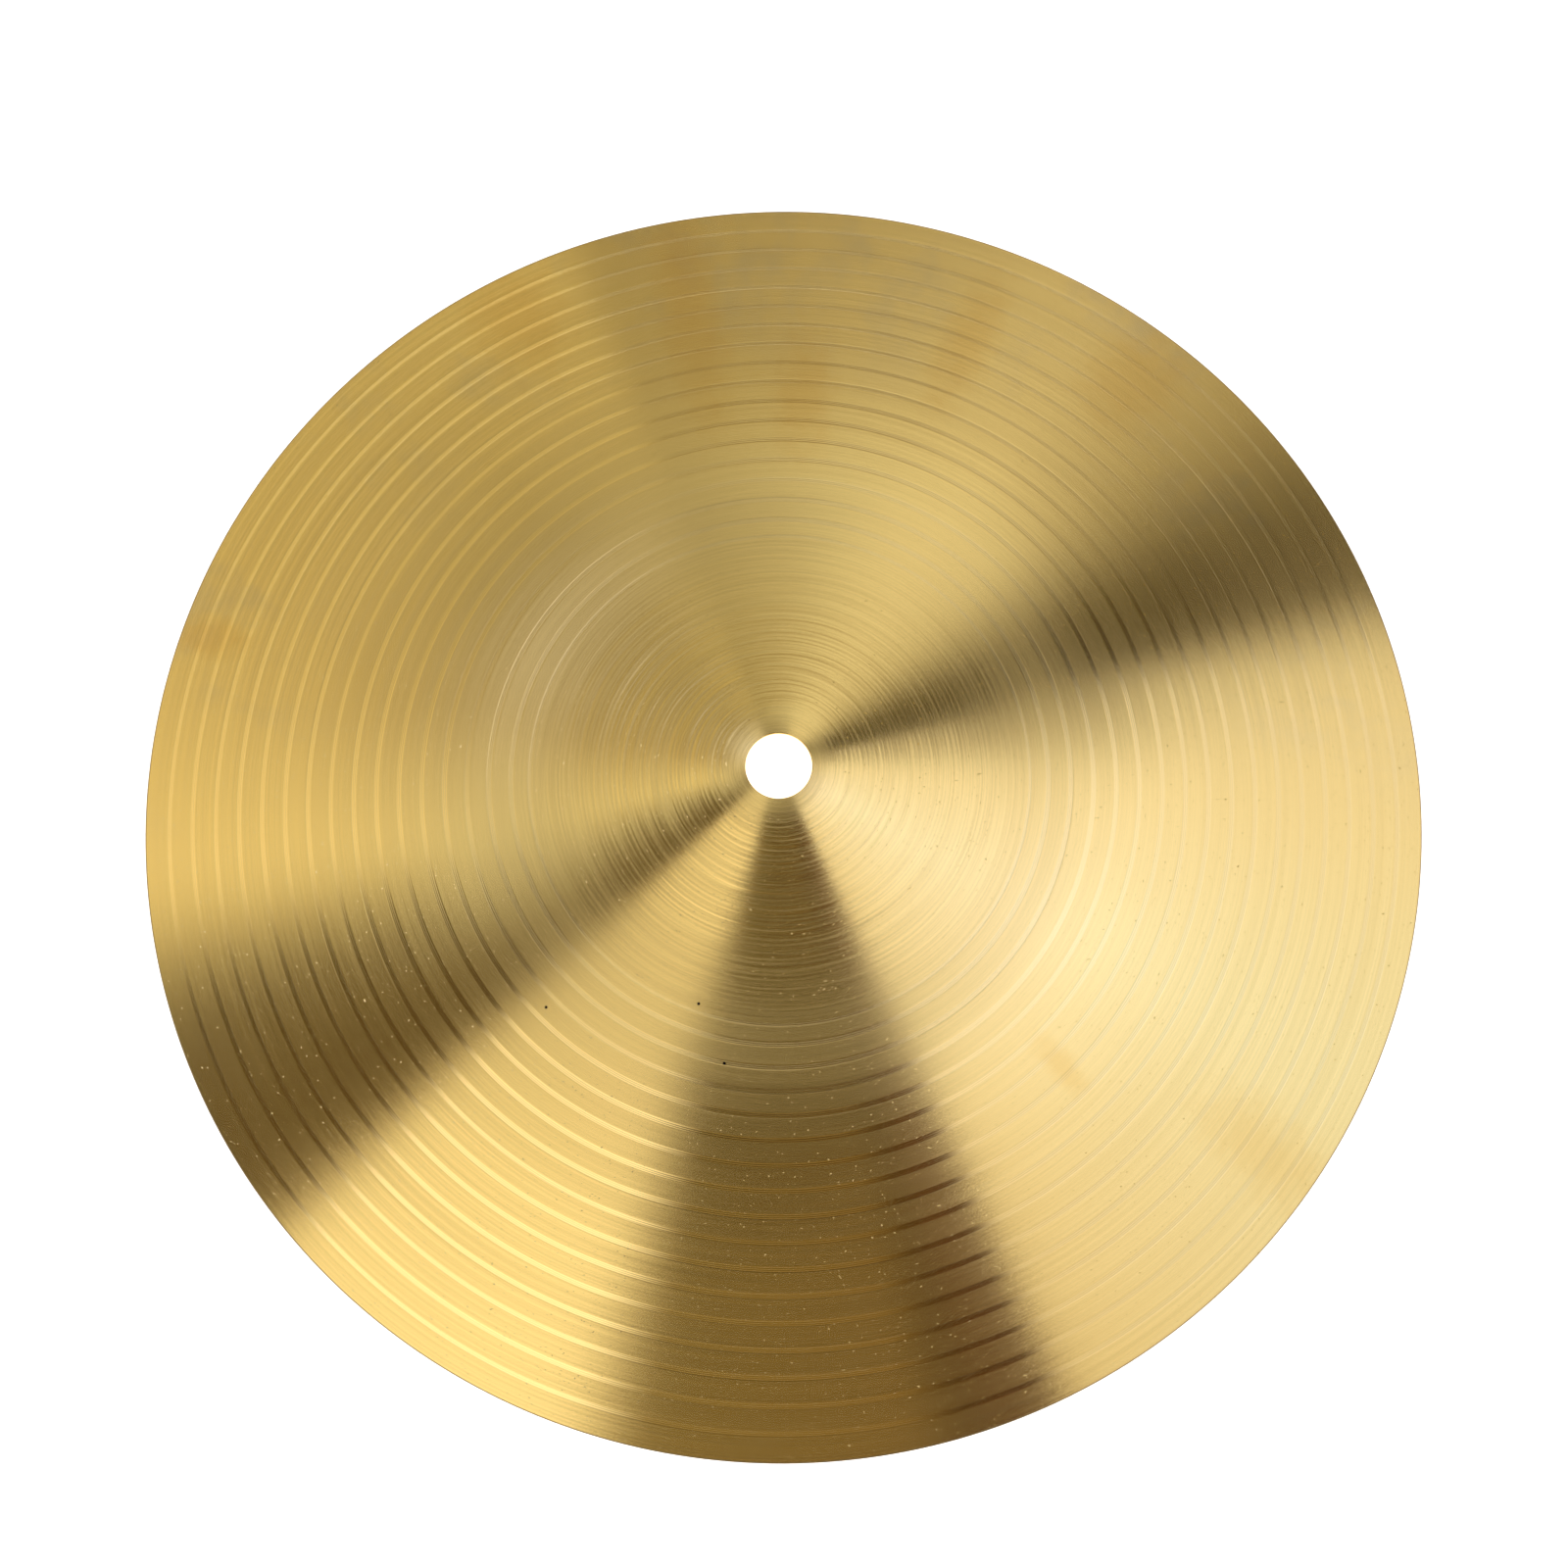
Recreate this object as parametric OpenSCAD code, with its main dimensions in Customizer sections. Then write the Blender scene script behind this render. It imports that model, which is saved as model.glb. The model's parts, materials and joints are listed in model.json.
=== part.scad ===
// A small crash cymbal: one round plate of sheet brass, pressed to a low bell in the middle and a
// shallow bow out to the rim, with a hole for the stand and turned sound grooves on its top face.
// The origin is the centre of the circle that the rim rests on, and +Z runs up through the hole.

/* [Plate] */
// Diameter over the rim
diameter = 254; // [250:1:356]
// Thickness of the sheet, measured along the axis
sheet = 0.7; // [0.5:0.1:1.5]
// Diameter of the hole for the stand
hole_d = 12.5; // [10:0.5:14]
// Bevel left by deburring the edges of the rim and the hole
edge_bevel = 0.1; // [0.05:0.05:0.2]

/* [Bell] */
// Radius of the flat land that the felts clamp
land_r = 7.5; // [7:0.5:12]
// Radius where the crown reaches its steepest slope
crown_r = 13; // [13:1:20]
// Slope there, as fall per unit of radius
crown_slope = 0.248; // [0.15:0.001:0.35]
// Radius where the flank of the bell begins to ease
flank_r = 30; // [24:1:34]
// Slope there
flank_slope = 0.21; // [0.12:0.001:0.3]
// Radius of the foot of the bell
foot_r = 47; // [38:1:50]
// Slope there
foot_slope = 0.06; // [0.01:0.001:0.08]

/* [Bow] */
// Radius where the bow leaves the gently sloping ring around the bell
bow_r = 54; // [51:1:60]
// Slope there
bow_slope = 0.04; // [0:0.001:0.05]
// Radius halfway down the shoulder of the bow
shoulder_r = 76; // [68:1:84]
// Slope there
shoulder_slope = 0.212; // [0.1:0.001:0.25]
// Radius beyond which the bow runs out almost straight
skirt_r = 95; // [86:1:105]
// Slope there
skirt_slope = 0.278; // [0.2:0.001:0.35]
// Slope at the rim
rim_slope = 0.3; // [0.2:0.001:0.4]

/* [Sound grooves] */
// Radius of the fine groove that marks the foot of the bell
foot_groove_r = 47.7; // [40:0.1:49]
// Width of that fine groove
foot_groove_w = 0.7; // [0.7:0.1:1]
// Number of full grooves on the bow
grooves = 16; // [8:1:16]
// Radius of the first groove on the bow
first_groove_r = 51.2; // [51:0.1:54]
// Distance from the first groove to the second
first_gap = 4.28; // [3.5:0.01:4.4]
// How much each gap is wider than the one before it
gap_growth = 0.06; // [0:0.01:0.08]
// Width of a groove
groove_w = 1.05; // [0.8:0.05:1.5]
// Width of a groove's sloping side
groove_side = 0.1; // [0.1:0.05:0.3]
// Depth of a groove
groove_depth = 0.02; // [0.02:0.01:0.15]

/* [Fineness] */
// Radial step of the plain stretches
step = 1.6; // [0.8:0.1:3]
// Facets of the preview around the plate
$fn = 240; // [48:24:360]

/* [Hidden] */

hole_r = hole_d / 2;
rim_r = diameter / 2;
rest_r = rim_r - edge_bevel;

// The plate's slope changes evenly with radius from each of these [radius, slope] stations to the
// next, so its section is a chain of parabolas that meet without a corner.
STATIONS = [
    [land_r, 0],
    [crown_r, crown_slope],
    [flank_r, flank_slope],
    [foot_r, foot_slope],
    [bow_r, bow_slope],
    [shoulder_r, shoulder_slope],
    [skirt_r, skirt_slope],
    [rim_r, rim_slope]
];

// Fall from station i to radius r, or to the next station if r lies beyond it
function stretch_fall(i, r) =
    let (
        span = STATIONS[i + 1][0] - STATIONS[i][0],
        x = min(max(r - STATIONS[i][0], 0), span),
        s0 = STATIONS[i][1],
        s1 = STATIONS[i + 1][1]
    ) s0 * x + (s1 - s0) * x * x / (2 * span);

// Fall from the flat land to radius r
function fall(r, i = 0) =
    i == len(STATIONS) - 1 ? 0 : stretch_fall(i, r) + fall(r, i + 1);

// Heights of the plate's two faces above the circle it rests on
function underside(r) = fall(rest_r) - fall(r);
function topside(r) = underside(r) + sheet;

// Radius of full groove k: the gaps grow by gap_growth each time
function groove_r(k) = first_groove_r + k * first_gap + gap_growth * k * (k - 1) / 2;

// Points across one groove: its near lip, its floor and its far lip
function groove_points(r, w) = [
    [r - w / 2, topside(r - w / 2)],
    [r - w / 2 + groove_side, topside(r - w / 2 + groove_side) - groove_depth],
    [r + w / 2 - groove_side, topside(r + w / 2 - groove_side) - groove_depth],
    [r + w / 2, topside(r + w / 2)]
];

// Even steps strictly between two radii
function between(a, b, pitch) =
    let (n = max(ceil(abs(b - a) / pitch), 1)) [for (i = [1 : 1 : n - 1]) a + (b - a) * i / n];

// Points along a plain stretch of the top face, without its ends
function plain(a, b) = [for (r = between(a, b, step)) [r, topside(r)]];

// The top face from the hole to the rim
function top_line() = [
    [hole_r, topside(hole_r) - edge_bevel],
    [hole_r + edge_bevel, topside(hole_r)],
    [land_r, topside(land_r)],
    each plain(land_r, foot_groove_r - foot_groove_w / 2),
    each groove_points(foot_groove_r, foot_groove_w),
    each plain(foot_groove_r + foot_groove_w / 2, groove_r(0) - groove_w / 2),
    for (k = [0 : grooves - 1]) each [
        each groove_points(groove_r(k), groove_w),
        each plain(
            groove_r(k) + groove_w / 2,
            k < grooves - 1 ? groove_r(k + 1) - groove_w / 2 : rest_r
        )
    ],
    [rest_r, topside(rest_r)],
    [rim_r, topside(rest_r) - edge_bevel]
];

// The underside from the rim back to the hole
function bottom_line() = [
    [rim_r, edge_bevel],
    [rest_r, 0],
    for (r = between(rest_r, land_r, 2 * step)) [r, underside(r)],
    [land_r, underside(land_r)],
    [hole_r + edge_bevel, underside(hole_r)],
    [hole_r, underside(hole_r) + edge_bevel]
];

module cymbal_plate() {
    color([0.83, 0.68, 0.38])
        rotate_extrude() polygon(concat(top_line(), bottom_line()));
}

cymbal_plate();
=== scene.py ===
"""Looks of a small brass crash cymbal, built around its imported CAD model. Lengths are in metres."""

import json
import math

import bpy
from mathutils import Matrix, Vector


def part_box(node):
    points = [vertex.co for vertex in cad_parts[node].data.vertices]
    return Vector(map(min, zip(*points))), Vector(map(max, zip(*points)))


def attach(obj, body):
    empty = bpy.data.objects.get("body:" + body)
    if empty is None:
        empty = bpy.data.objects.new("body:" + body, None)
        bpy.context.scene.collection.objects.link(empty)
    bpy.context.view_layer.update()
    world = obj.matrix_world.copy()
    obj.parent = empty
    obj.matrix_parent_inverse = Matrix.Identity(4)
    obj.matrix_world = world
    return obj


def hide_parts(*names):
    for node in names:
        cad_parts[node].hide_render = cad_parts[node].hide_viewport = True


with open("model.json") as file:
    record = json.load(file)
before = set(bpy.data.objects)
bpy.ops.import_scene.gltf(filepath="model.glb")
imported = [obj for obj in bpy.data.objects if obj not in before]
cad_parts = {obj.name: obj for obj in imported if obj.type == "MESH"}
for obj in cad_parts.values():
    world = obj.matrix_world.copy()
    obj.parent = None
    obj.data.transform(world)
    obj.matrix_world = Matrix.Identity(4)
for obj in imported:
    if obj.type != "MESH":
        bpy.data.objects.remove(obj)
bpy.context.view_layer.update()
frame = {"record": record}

mounts = {m["name"]: m for m in frame["record"]["mounts"]}
MM = 0.001

# ---------------------------------------------------------------- shape of the plate

RIM_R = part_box("cymbal_plate")[1].x
TOP_Z = mounts["top_felt_land"]["pos_m"][2]
SHEET = TOP_Z - mounts["under_felt_land"]["pos_m"][2]
HOLE_R = mounts["stand_hole"]["dims"]["r_mm"] * MM
LAND_R = 7.5 * MM

# The same section as the CAD plate's: its slope changes evenly with radius from each of these
# (radius, slope) stations to the next.
STATIONS = [
    (LAND_R, 0.0),
    (13 * MM, 0.248),
    (30 * MM, 0.21),
    (47 * MM, 0.06),
    (54 * MM, 0.04),
    (76 * MM, 0.212),
    (95 * MM, 0.278),
    (RIM_R, 0.3),
]

FOOT_GROOVE = (47.7 * MM, 0.7 * MM)     # radius and width of the fine groove at the bell's foot
GROOVES = 16
FIRST_GROOVE_R = 51.2 * MM
FIRST_GAP = 4.28 * MM
GAP_GROWTH = 0.06 * MM
GROOVE_W = 1.05 * MM
GROOVE_SIDE = 0.1 * MM
GROOVE_DEPTH = 0.02 * MM

EDGE_ROUND = 0.12 * MM                      # radius of the deburred edges
EDGE_TURNS = 4                              # faces across each rounded edge
CUT_ROUGH_AND_SHADE = {"rim": 1.0, "hole": 0.4}      # how rough each cut edge is, and how dark with painted shade
SPOKES = 320                                # faces around the plate
GUARD = 0.1 * MM                            # distance of a guard ring from the edge that it guards
PLAIN_STEP = 1.4 * MM
UNDER_STEP = 2.4 * MM


def fall(r):
    """How far the plate has fallen below its flat land at radius r."""
    total = 0.0
    for (r0, s0), (r1, s1) in zip(STATIONS, STATIONS[1:]):
        x = min(max(r - r0, 0.0), r1 - r0)
        total += s0 * x + (s1 - s0) * x * x / (2 * (r1 - r0))
    return total


def groove_r(k):
    """Radius of full groove k: the gaps between grooves grow evenly."""
    return FIRST_GROOVE_R + k * FIRST_GAP + GAP_GROWTH * k * (k - 1) / 2


ALL_GROOVES = [FOOT_GROOVE] + [(groove_r(k), GROOVE_W) for k in range(GROOVES)]


def smooth(x):
    """Smooth step from 0 to 1 over x from 0 to 1."""
    x = min(max(x, 0.0), 1.0)
    return x * x * (3 - 2 * x)


def groove_share(r):
    """1 on the floor of a groove, 0 between grooves."""
    return max(smooth((w / 2 - abs(r - centre)) / GROOVE_SIDE) for centre, w in ALL_GROOVES)


def steps(a, b, pitch):
    """Even steps from a to b, without b."""
    n = max(math.ceil(abs(b - a) / pitch), 1)
    return [a + (b - a) * i / n for i in range(n)]


def top_radii():
    """Radii of the top face's rings. Close guard rings keep each groove's sides crisp in the shading."""
    radii = steps(HOLE_R + EDGE_ROUND + GUARD, LAND_R, PLAIN_STEP)
    start = LAND_R
    for centre, w in ALL_GROOVES:
        lip, floor = w / 2, w / 2 - GROOVE_SIDE
        half = [floor - GUARD, floor, lip, lip + GUARD]
        radii += steps(start, centre - lip - GUARD, PLAIN_STEP)
        radii += [centre - x for x in reversed(half)] + [centre + x for x in half[:-1]]
        start = centre + lip + GUARD
    last = RIM_R - EDGE_ROUND - GUARD
    return radii + steps(start, last, PLAIN_STEP) + [last]


def quarter_round(r, z, start_deg):
    """Points of a quarter round edge about (r, z), turning clockwise from start_deg."""
    turns = [math.radians(start_deg - 90 * i / EDGE_TURNS) for i in range(EDGE_TURNS + 1)]
    return [(r + EDGE_ROUND * math.cos(a), z + EDGE_ROUND * math.sin(a)) for a in turns]


def section():
    """The plate's cross-section: a list of (radius, height) for each stretch of the closed loop."""
    def top(r):
        return TOP_Z - fall(r)

    rest_r = RIM_R - EDGE_ROUND
    under_z = TOP_Z - SHEET
    under_radii = steps(rest_r - GUARD, LAND_R, UNDER_STEP) + [LAND_R, HOLE_R + EDGE_ROUND + GUARD]
    return {
        "top": [(r, top(r) - GROOVE_DEPTH * groove_share(r)) for r in top_radii()],
        "rim": quarter_round(rest_r, top(rest_r) - EDGE_ROUND, 90)
        + quarter_round(rest_r, top(rest_r) - SHEET + EDGE_ROUND, 0),
        "under": [(r, top(r) - SHEET) for r in under_radii],
        "hole": quarter_round(HOLE_R + EDGE_ROUND, under_z + EDGE_ROUND, 270)
        + quarter_round(HOLE_R + EDGE_ROUND, TOP_Z - EDGE_ROUND, 180),
    }


def store(mesh, name, values):
    """Keeps one number per vertex on the mesh, for the material to read."""
    mesh.attributes.new(name, "FLOAT", "POINT").data.foreach_set("value", values)


def revolve(name, stretches):
    """The closed surface that the cross-section makes as it turns round Z. Its top comes first."""
    loop = [point for stretch in stretches.values() for point in stretch]
    grooved = [groove_share(r) for r, z in stretches["top"]]
    plain = [0.0] * (len(loop) - len(grooved))
    # How rough each cut edge is, and how dark its painted shade.
    cut_rough_and_shade = [CUT_ROUGH_AND_SHADE.get(key, 0.0) for key, stretch in stretches.items() for _ in stretch]
    n = len(loop)
    angles = [2 * math.pi * i / SPOKES for i in range(SPOKES)]
    points = [(r * math.cos(a), r * math.sin(a), z) for a in angles for r, z in loop]
    faces = []
    for i in range(SPOKES):
        here, there = i * n, (i + 1) % SPOKES * n
        for j in range(n):
            k = (j + 1) % n
            faces.append((here + j, here + k, there + k, there + j))
    mesh = bpy.data.meshes.new(name)
    mesh.from_pydata(points, [], faces)
    mesh.shade_smooth()
    store(mesh, "groove", (grooved + plain) * SPOKES)
    store(mesh, "cut_edge", cut_rough_and_shade * SPOKES)
    piece = bpy.data.objects.new(name, mesh)
    bpy.context.scene.collection.objects.link(piece)
    return piece


# ---------------------------------------------------------------- shader nodes

class Graph:
    """Adds shader nodes to a tree. An input may be a number, a tuple or another node's socket."""

    def __init__(self, tree):
        self.tree = tree

    def feed(self, socket, value):
        if isinstance(value, bpy.types.NodeSocket):
            self.tree.links.new(value, socket)
        else:
            socket.default_value = value

    def node(self, kind, *values, **settings):
        made = self.tree.nodes.new("ShaderNode" + kind)
        for key, setting in settings.items():
            setattr(made, key, setting)
        for socket, value in zip(made.inputs, values):
            self.feed(socket, value)
        return made

    def math(self, operation, *values):
        return self.node("Math", *values, operation=operation).outputs[0]

    def vector(self, operation, *values):
        return self.node("VectorMath", *values, operation=operation).outputs[0]

    def scaled(self, vector, factor):
        made = self.node("VectorMath", vector, operation="SCALE")
        self.feed(made.inputs["Scale"], factor)
        return made.outputs[0]

    def remap(self, value, low, high, to_low=0.0, to_high=1.0):
        """A smooth step from to_low to to_high as the value goes from low to high."""
        made = self.node(
            "MapRange", value, low, high, to_low, to_high, interpolation_type="SMOOTHSTEP"
        )
        return made.outputs[0]

    def noise(self, vector, scale, detail=2.0, roughness=0.5):
        made = self.node("TexNoise")
        self.feed(made.inputs["Vector"], vector)
        made.inputs["Scale"].default_value = scale
        made.inputs["Detail"].default_value = detail
        made.inputs["Roughness"].default_value = roughness
        return made.outputs[0]

    def blend(self, factor, low, high):
        made = self.node("Mix", data_type="RGBA")
        self.feed(made.inputs["Factor"], factor)
        self.feed(made.inputs[6], low)
        self.feed(made.inputs[7], high)
        return made.outputs[2]

    def mix(self, factor, low, high):
        made = self.node("Mix", data_type="FLOAT")
        self.feed(made.inputs["Factor"], factor)
        self.feed(made.inputs[2], low)
        self.feed(made.inputs[3], high)
        return made.outputs[0]

    def attribute(self, name):
        return self.node("Attribute", attribute_name=name).outputs["Fac"]


# ---------------------------------------------------------------- brass

BRASS = (0.96, 0.75, 0.31, 1)
DULL_BRASS = (0.80, 0.61, 0.24, 1)
# Painted sheen: a slightly lighter brass in the grooves for their brighter polish.
GROOVE_SHEEN_BRASS = (0.96, 0.77, 0.36, 1)
TARNISH = (0.84, 0.56, 0.16, 1)
GRIME = (0.74, 0.62, 0.36, 1)
# Painted shade: a dark brass for the dark line along the rim and the hole's edge.
CUT_EDGE_SHADE = (0.42, 0.30, 0.14, 1)
PIT = (0.02, 0.01, 0.01, 1)

BRUSHED_ROUGHNESS = 0.24
POLISHED_ROUGHNESS = 0.16
CUT_ROUGHNESS = 0.45
CLOUDS_PER_MM = 0.035
CLOUD_SWING = 0.05              # how much the polish varies from cloud to cloud
ROUGH_RINGS = (2.5, 1.5)
ROUGH_SWING = 0.05

# Streaks that run round the plate are noise. A pair of numbers says how finely it varies per mm along
# the radius, and how much it varies on its way round. A tilt is how far the noise leans the surface.
BRUSH_RINGS = (2.6, 0.8)
BRUSH_TILT = 1.0
WANDER_RINGS = (3.5, 1.5)
WANDER_TILT = 0.05
GRIT_PER_MM = 4.5
GRIT_TILT = 0.11
SPECKS_PER_MM = 2.4
SPECK_LEVELS = (0.79, 0.84)     # the noise values from which and at which there is a speck
SPECK_TILT = 2.5
SPECK_SWERVE = 0.8

BELL_EDGE = (50, 40)            # radii in mm where the marks of spinning the bell begin and are full
COARSE_EDGE = (52, 42)          # the same for the coarser brushing of the bell
BELL_COARSENESS = 2.5           # how much deeper the brush marks are on the bell than on the bow
SPIN_PITCH = 0.9                # rough distance between the marks of spinning the bell, in mm
SPIN_TILT = 0.34
SPIN_RINGS = (0.7, 0.9)
SPIN_WANDER = 9.0               # how unevenly those marks are spaced, in radians of their phase

FEED_PITCH = 0.35               # distance between the feed marks of the turning tool, in mm
FEED_TILT = 0.16
FEED_LEAN = 0.12                # the tool cut the grooves leaning outward,
INNER_LEAN = 0.05               # but less so where the plate is almost level
LEAN_EDGE = (50, 66)            # radii in mm between which that changes
POLISH_EDGE = (50, 72)          # and between which the grooves come to be more polished

# Dull streaks: their noise, the values between which they set in, and how dull they get.
DULL_RINGS = (3.0, 1.2)
DULL_LEVELS = (0.35, 0.65)
DULL_SHARE = 0.18
RIM_ROUGH_AND_SHADE_SHARE = 0.6             # how much of the cut rim's roughness and painted shade the ring beside it has

# Grime crept in from the rim at the back, in tongues that run along the radius.
CREEP_TONGUES = 4.5
CREEP_PER_MM = 0.03
CREEP_LEVELS = (0.5, 0.7)
CREEP_SHARE = 0.6
CREEP_RADII = (75, 120)
CREEP_BACK = (-20, 40)          # distance in mm behind the hole where it begins and is full

# Tarnished smears: compass direction in degrees, radius, half width and half length in mm.
SMEARS = [
    (48, 113, 9, 13),
    (66, 101, 5, 16),
    (85, 80, 5.5, 13),
    (99, 104, 6, 27),
    (117, 115, 9, 14),
    (163, 120, 3.5, 8),
    (312, 76, 2.5, 6),
    (321, 116, 7, 14),
]
SMEAR_STRENGTH = 0.42
SMEAR_EDGE = (1.6, 0.2)         # from the outside of a smear to its full strength
RAGGED_PER_MM = 0.25
RAGGED_SWING = 1.6

# Small dark pits: compass direction and radius on the plate, in mm.
PITS = [(224, 62), (249.6, 46.2), (258, 55.6)]
PIT_R = 0.35
PIT_EDGE = (1.0, 0.6)


def brass():
    """Circularly brushed brass: the brush marks run round the hole, so reflections fan out from it."""
    mat = bpy.data.materials.new("brushed_brass")
    mat.use_nodes = True
    g = Graph(mat.node_tree)
    shader = mat.node_tree.nodes["Principled BSDF"]

    place = g.scaled(g.node("TexCoord").outputs["Object"], 1 / MM)
    split = g.node("SeparateXYZ", place)
    flat = g.node("CombineXYZ", split.outputs["X"], split.outputs["Y"], 0.0).outputs[0]
    outward = g.vector("NORMALIZE", flat)
    around = g.vector("CROSS_PRODUCT", (0, 0, 1), outward)
    radius = g.node("VectorMath", flat, operation="LENGTH").outputs["Value"]
    groove = g.attribute("groove")
    # The rim and hole edges, and a thin ring just inside the rim, are rough and darkened with painted
    # shade.
    rim_side = (RIM_R - 3 * EDGE_ROUND) / MM
    rim_edge = (RIM_R - EDGE_ROUND) / MM
    near_rim = g.remap(radius, rim_side, rim_edge, 0.0, RIM_ROUGH_AND_SHADE_SHARE)
    cut_rough_and_shade = g.math("MAXIMUM", g.attribute("cut_edge"), near_rim)

    def rings(per_mm, turns, detail=2.0, roughness=0.5):
        """Noise that varies finely along the radius and slowly on its way round the plate."""
        lift = g.node("CombineXYZ", 0.0, 0.0, g.math("MULTIPLY", radius, per_mm)).outputs[0]
        return g.noise(g.vector("ADD", g.scaled(outward, turns), lift), 1.0, detail, roughness)

    def swing(value, size):
        """A noise value made to swing about zero."""
        return g.math("MULTIPLY", g.math("SUBTRACT", value, 0.5), size)

    def patch(compass, r, half_width, half_length):
        """Distance from a spot on the plate, which is 1 on an ellipse that lies along the radius."""
        a = math.radians(compass)
        local = g.node("Mapping", place, vector_type="TEXTURE")
        local.inputs["Location"].default_value = (r * math.cos(a), r * math.sin(a), 0)
        local.inputs["Rotation"].default_value = (0, 0, a)
        local.inputs["Scale"].default_value = (half_length, half_width, RIM_R / MM)
        return g.node("VectorMath", local.outputs[0], operation="LENGTH").outputs["Value"]

    # Brush marks tilt the surface in and out, and on the bell the marks of spinning it do too.
    coarseness = g.remap(radius, *COARSE_EDGE, 1.0, BELL_COARSENESS)
    tilt = g.math("MULTIPLY", swing(rings(*BRUSH_RINGS), BRUSH_TILT), coarseness)
    phase = g.math("MULTIPLY", radius, 2 * math.pi / SPIN_PITCH)
    phase = g.math("ADD", phase, swing(rings(*SPIN_RINGS), SPIN_WANDER))
    spin = g.math("MULTIPLY", g.math("SINE", phase), g.remap(radius, *BELL_EDGE, 0.0, SPIN_TILT))
    tilt = g.math("ADD", tilt, spin)
    # The brush wandered a little sideways, and its grit left a fine grain and a few specks.
    specks = g.remap(g.noise(place, SPECKS_PER_MM, 0.0), *SPECK_LEVELS)
    tilt = g.math("SUBTRACT", tilt, g.math("MULTIPLY", specks, SPECK_TILT))
    grit = swing(g.noise(place, GRIT_PER_MM, 1.0), GRIT_TILT)
    sideways = g.math("ADD", swing(rings(*WANDER_RINGS), WANDER_TILT), grit)
    sideways = g.math("ADD", sideways, g.math("MULTIPLY", specks, SPECK_SWERVE))
    # All of these are deeper on steeper stretches, and the grooves have none of them.
    normal = g.node("NewGeometry").outputs["Normal"]
    steepness = g.vector("CROSS_PRODUCT", normal, (0, 0, 1))
    steepness = g.node("VectorMath", steepness, operation="LENGTH").outputs["Value"]
    brushed = g.math("SUBTRACT", steepness, g.math("MULTIPLY", steepness, groove))
    # The grooves carry the even feed marks of a turning tool instead.
    feed = g.math("SINE", g.math("MULTIPLY", radius, 2 * math.pi / FEED_PITCH))
    lean = g.remap(radius, *LEAN_EDGE, INNER_LEAN, FEED_LEAN)
    feed = g.math("ADD", g.math("MULTIPLY", feed, FEED_TILT), lean)
    feed = g.math("MULTIPLY", feed, groove)
    tilt = g.math("ADD", g.math("MULTIPLY", tilt, brushed), feed)
    sideways = g.math("MULTIPLY", sideways, brushed)
    normal = g.vector("ADD", normal, g.scaled(outward, tilt))
    normal = g.vector("ADD", normal, g.scaled(around, sideways))
    g.feed(shader.inputs["Normal"], g.vector("NORMALIZE", normal))

    # Uneven polish, and rougher streaks among the brush marks.
    rough = g.math("ADD", swing(g.noise(place, CLOUDS_PER_MM, 3.0), CLOUD_SWING), BRUSHED_ROUGHNESS)
    rough = g.math("ADD", rough, swing(rings(*ROUGH_RINGS), ROUGH_SWING))
    polished = g.math("MULTIPLY", groove, g.remap(radius, *POLISH_EDGE))
    rough = g.mix(polished, rough, POLISHED_ROUGHNESS)
    rough = g.mix(cut_rough_and_shade, rough, CUT_ROUGHNESS)
    g.feed(shader.inputs["Roughness"], rough)

    # Colour: dull streaks, painted sheen in the grooves, grime, smears, pits and painted shade on the
    # cut edges.
    dull = g.remap(rings(*DULL_RINGS), *DULL_LEVELS, 0.0, DULL_SHARE)
    colour = g.blend(g.math("MULTIPLY", dull, coarseness), BRASS, DULL_BRASS)
    # The grooves get a slightly lighter brass, which is painted sheen.
    colour = g.blend(groove, colour, GROOVE_SHEEN_BRASS)
    creep = rings(CREEP_PER_MM, CREEP_TONGUES, 4.0, 0.6)
    creep = g.remap(creep, *CREEP_LEVELS, 0.0, CREEP_SHARE)
    creep = g.math("MULTIPLY", creep, g.remap(radius, *CREEP_RADII))
    creep = g.math("MULTIPLY", creep, g.remap(split.outputs["Y"], *CREEP_BACK))
    colour = g.blend(creep, colour, GRIME)
    ragged = swing(g.noise(place, RAGGED_PER_MM, 4.0, 0.65), RAGGED_SWING)
    smeared = 0.0
    for smear in SMEARS:
        near = g.remap(g.math("ADD", patch(*smear), ragged), *SMEAR_EDGE)
        smeared = g.math("MAXIMUM", smeared, near)
    colour = g.blend(g.math("MULTIPLY", smeared, SMEAR_STRENGTH), colour, TARNISH)
    for compass, r in PITS:
        pit = g.remap(patch(compass, r, PIT_R, PIT_R), *PIT_EDGE)
        colour = g.blend(pit, colour, PIT)
    # The cut edges are darkened with painted shade.
    g.feed(shader.inputs["Base Color"], g.blend(cut_rough_and_shade, colour, CUT_EDGE_SHADE))

    # Anisotropy along the brush marks, which spreads reflections into fans.
    shader.inputs["Metallic"].default_value = 1.0
    shader.inputs["Anisotropic"].default_value = 1.0
    shader.inputs["Anisotropic Rotation"].default_value = 0.25
    tangent = g.node("Tangent", direction_type="RADIAL", axis="Z")
    g.feed(shader.inputs["Tangent"], tangent.outputs[0])
    return mat


# ---------------------------------------------------------------- floor, light and camera

FLOOR_HALF = 3.0
FLOOR_GAP = 0.2 * MM                    # keeps the floor just clear of the rim
FLOOR_GREY = 0.9
FLOOR_ROUGHNESS = 0.9

TENT_LEAN = math.radians(12.3)          # how far behind the zenith the seams of the tent meet
# Angles from there, in degrees, between which one level of the tent's light turns into the next.
FOOT_TO_WALL = (62, 36)
WALL_TO_ROOF = (42, 12)

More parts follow.
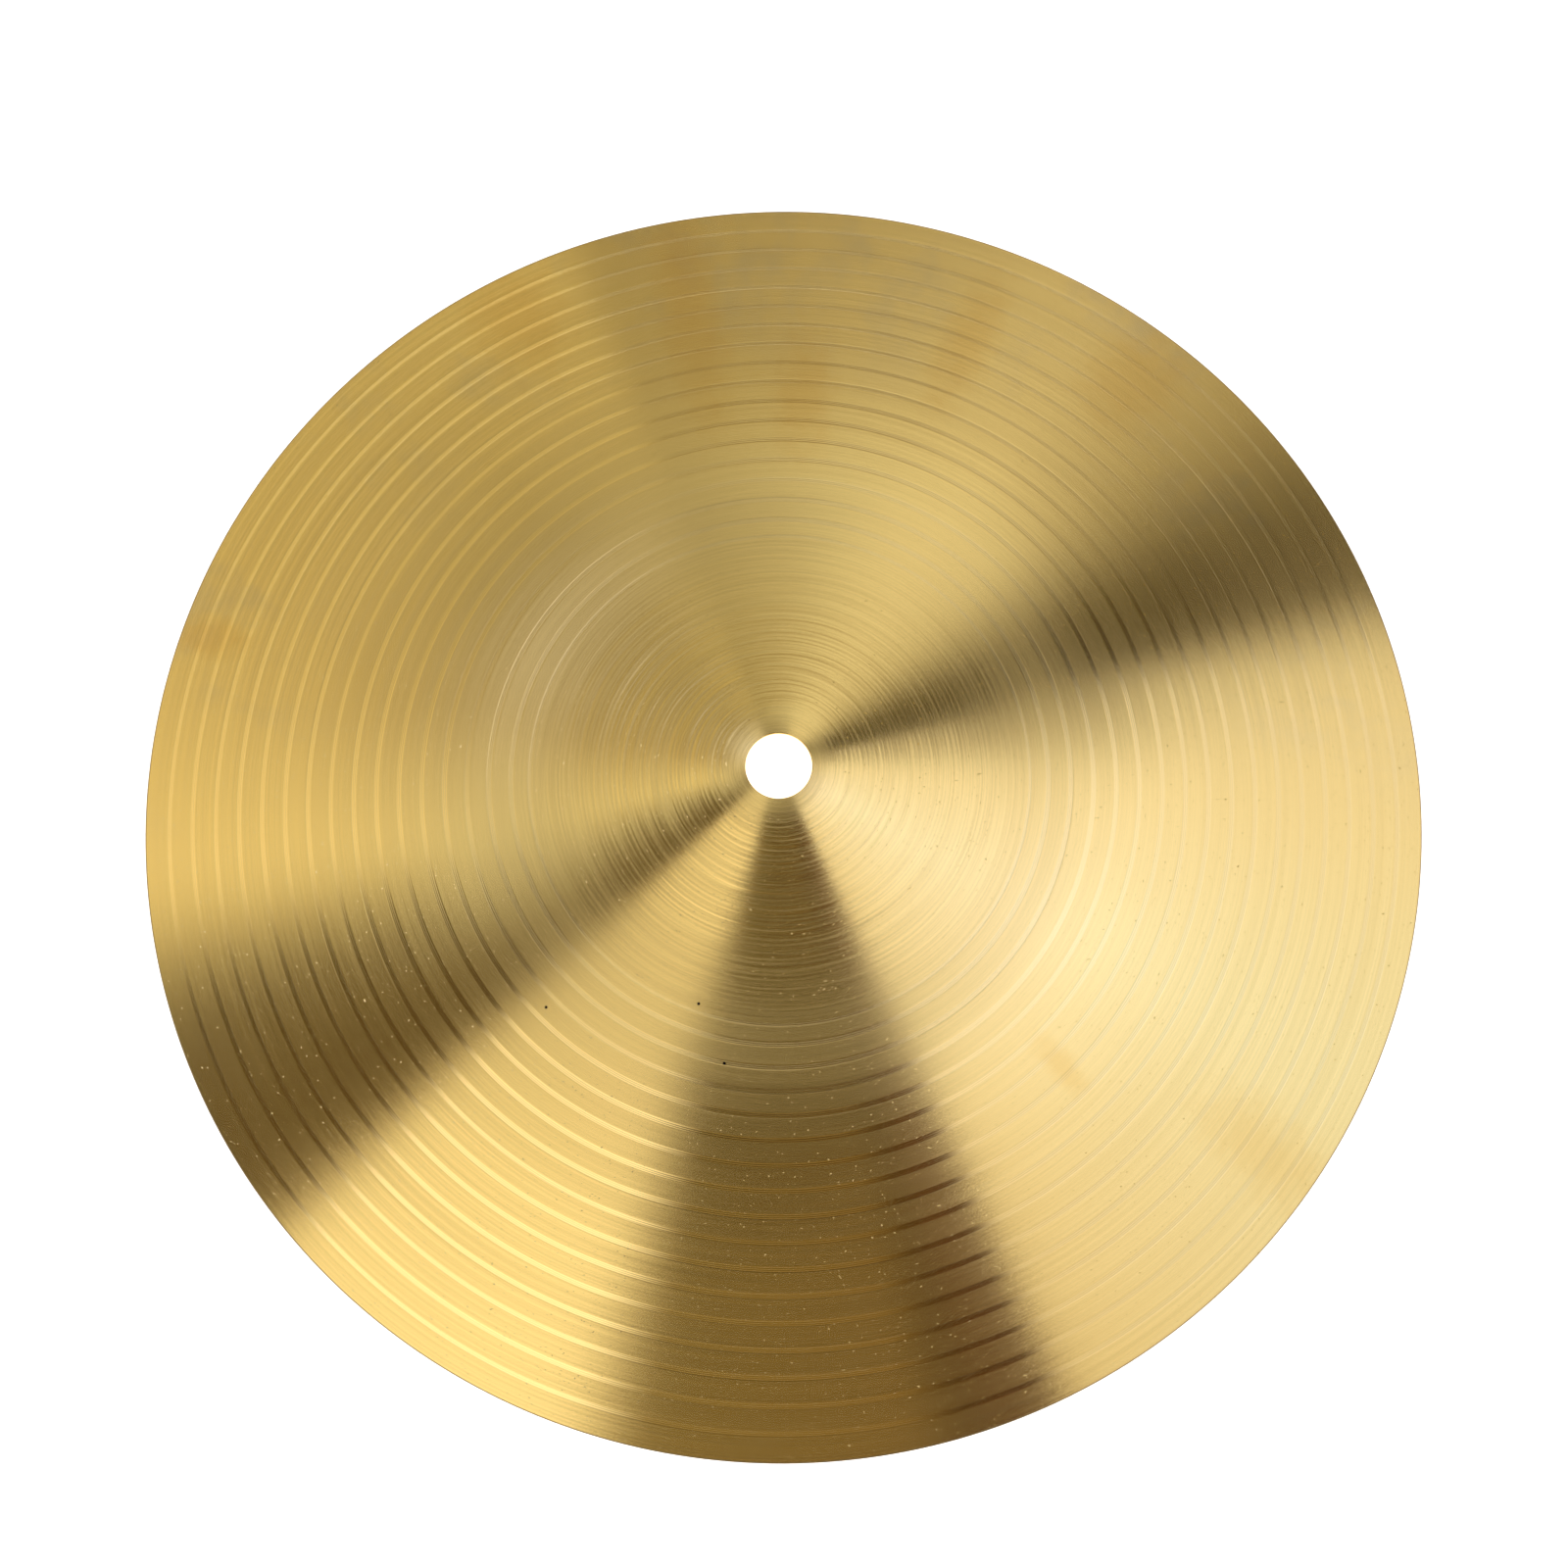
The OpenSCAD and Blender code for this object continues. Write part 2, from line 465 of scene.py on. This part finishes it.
# Light from the tent by compass direction in degrees (0 right, 90 behind, 270 in front), on three
# levels: near the floor, halfway up and overhead.
FOOT = [
    (0, (0.88, 0.81, 0.75)),
    (17, (0.84, 0.76, 0.70)),
    (23, (0.12, 0.09, 0.05)),
    (34, (0.15, 0.12, 0.06)),
    (45, (0.35, 0.28, 0.16)),
    (66, (0.37, 0.30, 0.17)),
    (71, (0.24, 0.18, 0.07)),
    (106, (0.24, 0.18, 0.07)),
    (109, (0.71, 0.58, 0.28)),
    (150, (0.73, 0.59, 0.29)),
    (180, (1.02, 0.84, 0.51)),
    (190, (0.08, 0.055, 0.02)),
    (214, (0.10, 0.06, 0.02)),
    (217, (1.45, 1.30, 1.08)),
    (247, (1.50, 1.36, 1.12)),
    (254, (0.30, 0.22, 0.09)),
    (280, (0.25, 0.165, 0.065)),
    (285, (0.06, 0.03, 0.01)),
    (294, (0.05, 0.02, 0.01)),
    (296, (0.74, 0.63, 0.48)),
    (335, (0.80, 0.82, 0.88)),
]
WALL = [
    (0, (1.05, 1.01, 1.03)),
    (17.5, (1.05, 1.00, 0.98)),
    (22.5, (0.03, 0.02, 0.01)),
    (31, (0.06, 0.045, 0.025)),
    (45, (0.33, 0.28, 0.18)),
    (58, (0.66, 0.585, 0.47)),
    (90, (0.43, 0.35, 0.20)),
    (140, (0.39, 0.32, 0.15)),
    (165, (0.51, 0.41, 0.23)),
    (186, (0.92, 0.80, 0.54)),
    (197, (0.11, 0.07, 0.025)),
    (214, (0.08, 0.05, 0.02)),
    (217, (0.70, 0.61, 0.44)),
    (246, (0.94, 0.83, 0.65)),
    (254, (0.07, 0.05, 0.02)),
    (284, (0.11, 0.065, 0.02)),
    (288, (0.18, 0.08, 0.03)),
    (292.5, (0.12, 0.05, 0.02)),
    (295.5, (1.07, 0.97, 0.87)),
    (335, (1.09, 1.19, 1.41)),
]
ROOF = [
    (0, (1.20, 1.15, 1.20)),
    (4, (0.95, 0.90, 0.92)),
    (12, (0.02, 0.01, 0.01)),
    (31, (0.02, 0.01, 0.01)),
    (45, (0.98, 0.92, 0.80)),
    (75, (0.98, 0.94, 0.80)),
    (105, (0.58, 0.54, 0.40)),
    (130, (0.20, 0.17, 0.09)),
    (165, (0.27, 0.22, 0.13)),
    (196, (0.95, 0.90, 0.75)),
    (208, (0.10, 0.07, 0.03)),
    (216, (0.02, 0.01, 0.01)),
    (220, (0.70, 0.61, 0.48)),
    (244, (0.80, 0.70, 0.56)),
    (250, (0.02, 0.01, 0.01)),
    (290, (0.02, 0.01, 0.01)),
    (295, (1.20, 1.15, 1.20)),
    (330, (1.50, 1.50, 2.00)),
]


def ring_ramp(g, compass, panels):
    """A colour ramp that goes once round the compass. A radial gradient starts at 180 degrees."""
    stops = sorted(((az / 360 + 0.5) % 1.0, colour) for az, colour in panels)
    (first, first_colour), (last, last_colour) = stops[0], stops[-1]
    share = (1 - last) / (first + 1 - last)
    seam = tuple(a + (b - a) * share for a, b in zip(last_colour, first_colour))
    stops = [(0.0, seam)] + stops + [(1.0, seam)]
    ramp = g.node("ValToRGB", compass)
    elements = ramp.color_ramp.elements
    while len(elements) < len(stops):
        elements.new(0.5)
    for element, (place, colour) in zip(elements, stops):
        element.position = place
        element.color = (*colour, 1)
    return ramp.outputs["Color"]


def light_tent():
    """A soft tent of white panels with dark gaps between them. The camera sees a plain pale backdrop."""
    world = bpy.data.worlds.new("light_tent")
    bpy.context.scene.world = world
    world.use_nodes = True
    g = Graph(world.node_tree)
    direction = g.node("TexCoord").outputs["Generated"]
    lean = g.node("Mapping", direction, vector_type="POINT")
    lean.inputs["Rotation"].default_value = (TENT_LEAN, 0, 0)
    leaning = lean.outputs[0]
    compass = g.node("TexGradient", leaning, gradient_type="RADIAL").outputs["Fac"]
    height = g.node("SeparateXYZ", leaning).outputs["Z"]

    def level(from_deg, to_deg):
        """0 to 1 as the angle from the seams' meeting point goes from from_deg to to_deg."""
        return g.remap(height, math.cos(math.radians(from_deg)), math.cos(math.radians(to_deg)))

    panels = g.blend(level(*FOOT_TO_WALL), ring_ramp(g, compass, FOOT), ring_ramp(g, compass, WALL))
    panels = g.blend(level(*WALL_TO_ROOF), panels, ring_ramp(g, compass, ROOF))
    light = world.node_tree.nodes["Background"]
    g.feed(light.inputs["Color"], panels)
    plain = g.node("Background", (1, 1, 1, 1))
    seen = g.node("LightPath").outputs["Is Camera Ray"]
    choice = g.node("MixShader", seen, light.outputs[0], plain.outputs[0])
    g.feed(world.node_tree.nodes["World Output"].inputs["Surface"], choice.outputs[0])


def pale_floor():
    """A plain white table, lit from below so that it shows no shadow."""
    half = FLOOR_HALF
    corners = [(-half, -half), (half, -half), (half, half), (-half, half)]
    mesh = bpy.data.meshes.new("floor")
    mesh.from_pydata([(x, y, -FLOOR_GAP) for x, y in corners], [], [(0, 1, 2, 3)])
    floor = bpy.data.objects.new("floor", mesh)
    bpy.context.scene.collection.objects.link(floor)
    mat = bpy.data.materials.new("pale_floor")
    mat.use_nodes = True
    shader = mat.node_tree.nodes["Principled BSDF"]
    shader.inputs["Base Color"].default_value = (FLOOR_GREY, FLOOR_GREY, FLOOR_GREY, 1)
    shader.inputs["Roughness"].default_value = FLOOR_ROUGHNESS
    shader.inputs["Emission Color"].default_value = (1, 1, 1, 1)
    shader.inputs["Emission Strength"].default_value = 1.0
    mesh.materials.append(mat)


CAMERA_FROM = 272.1             # compass direction, in degrees, of the camera from the plate
CAMERA_TILT = 12.26             # angle between its line of sight and straight down
CAMERA_ROLL = -1.56
CAMERA_DISTANCE = 371.5 * MM
CAMERA_TARGET = Vector((0.7, 1.8, 0)) * MM
CAMERA_LENS = 42.64             # focal length in mm on a 36 mm wide sensor


def camera():
    """The camera, which looks down on the plate from a little in front of it."""
    compass, tilt = math.radians(CAMERA_FROM), math.radians(CAMERA_TILT)
    flat = Vector((math.cos(compass), math.sin(compass), 0))
    back = flat * math.sin(tilt) + Vector((0, 0, math.cos(tilt)))
    right = Vector((0, 1, 0)).cross(back).normalized()
    upright = Matrix((right, back.cross(right), back)).transposed()
    data = bpy.data.cameras.new("camera")
    data.sensor_width = 36
    data.lens = CAMERA_LENS
    data.clip_start = 10 * MM
    obj = bpy.data.objects.new("camera", data)
    obj.location = CAMERA_TARGET + back * CAMERA_DISTANCE
    roll = Matrix.Rotation(math.radians(CAMERA_ROLL), 3, "Z")
    obj.rotation_euler = (upright @ roll).to_euler()
    bpy.context.scene.collection.objects.link(obj)
    bpy.context.scene.camera = obj


# ---------------------------------------------------------------- the scene

camera()
plate = revolve("brass_plate", section())
plate.data.materials.append(brass())
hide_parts("cymbal_plate")
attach(plate, "root")
pale_floor()
light_tent()
bpy.context.scene.view_settings.view_transform = "Standard"
